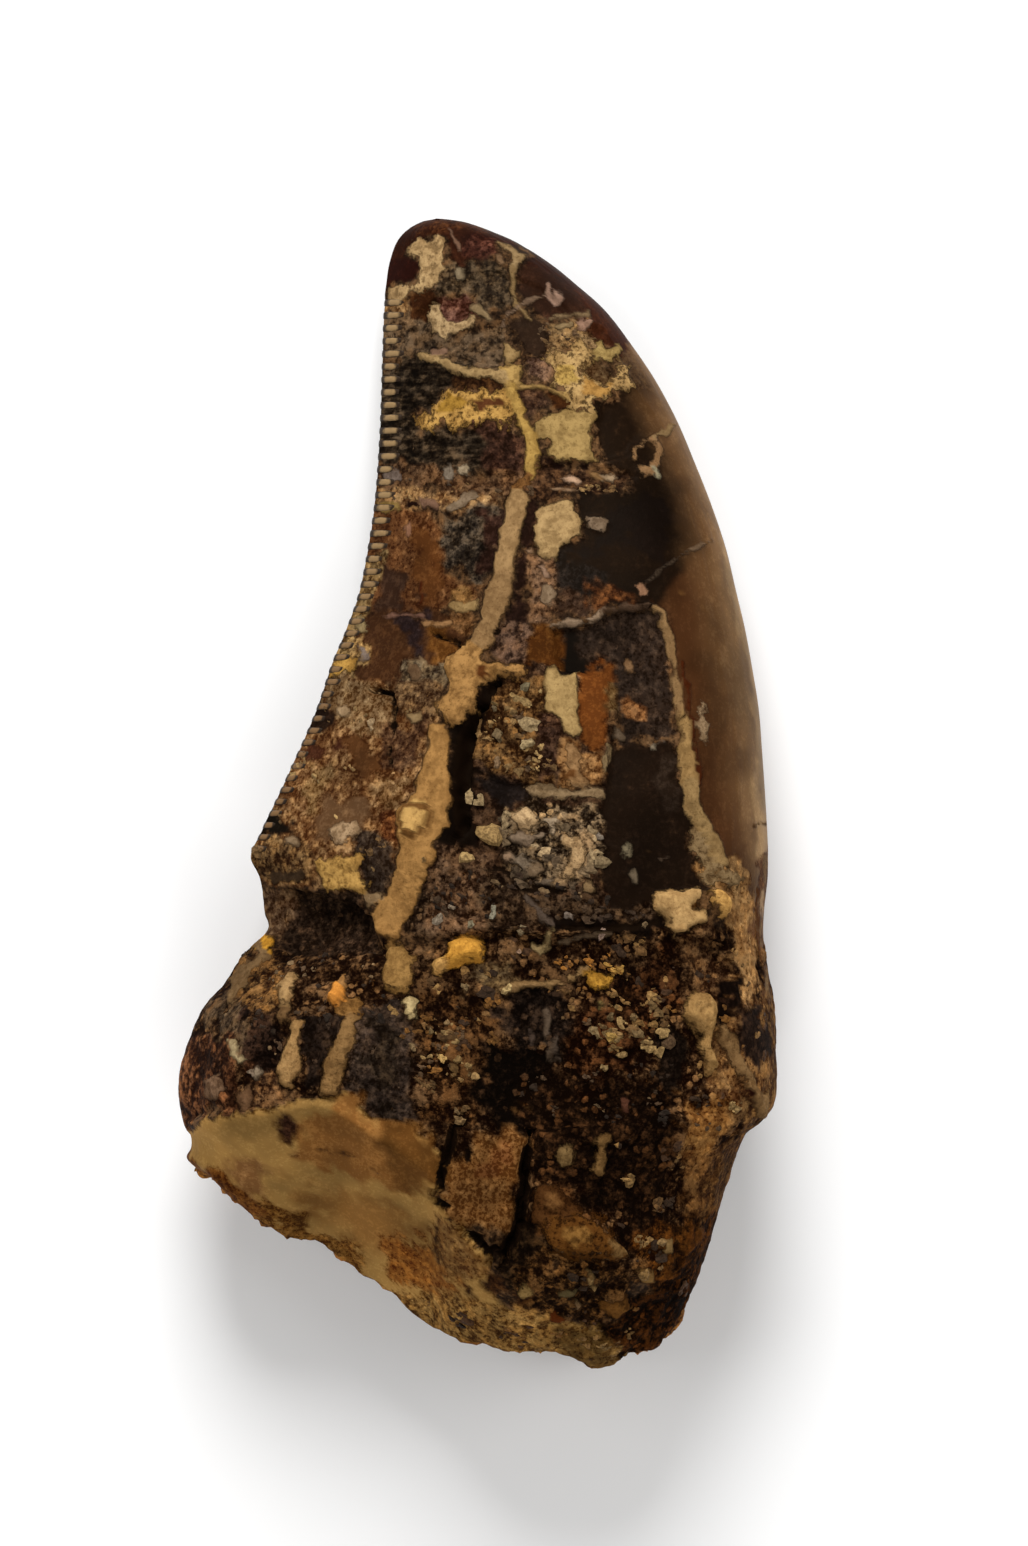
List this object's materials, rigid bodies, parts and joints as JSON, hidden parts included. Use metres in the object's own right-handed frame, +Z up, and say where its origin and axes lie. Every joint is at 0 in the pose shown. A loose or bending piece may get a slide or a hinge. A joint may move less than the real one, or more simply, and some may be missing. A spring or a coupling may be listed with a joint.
{
  "type": "fossil dinosaur tooth",
  "caption": "Recurved fossil tooth with a serrated hind edge, a rounded front edge, flaked brown enamel, mineral veins and a broken root.",
  "frame": {"origin": "on the surface that the tooth lies on, under the middle of its outline seen from above", "axes": "+Y along the tooth to its tip, +X across it to the smooth front edge, +Z up from the surface that it lies on"},
  "size_m": [0.0238, 0.0459, 0.0123],
  "materials": {
    "tooth": "worn semi-gloss fossil enamel over matt mineralised dentine"
  },
  "bodies": {
    "root": {"tooth": "tooth"}
  },
  "joints": []
}
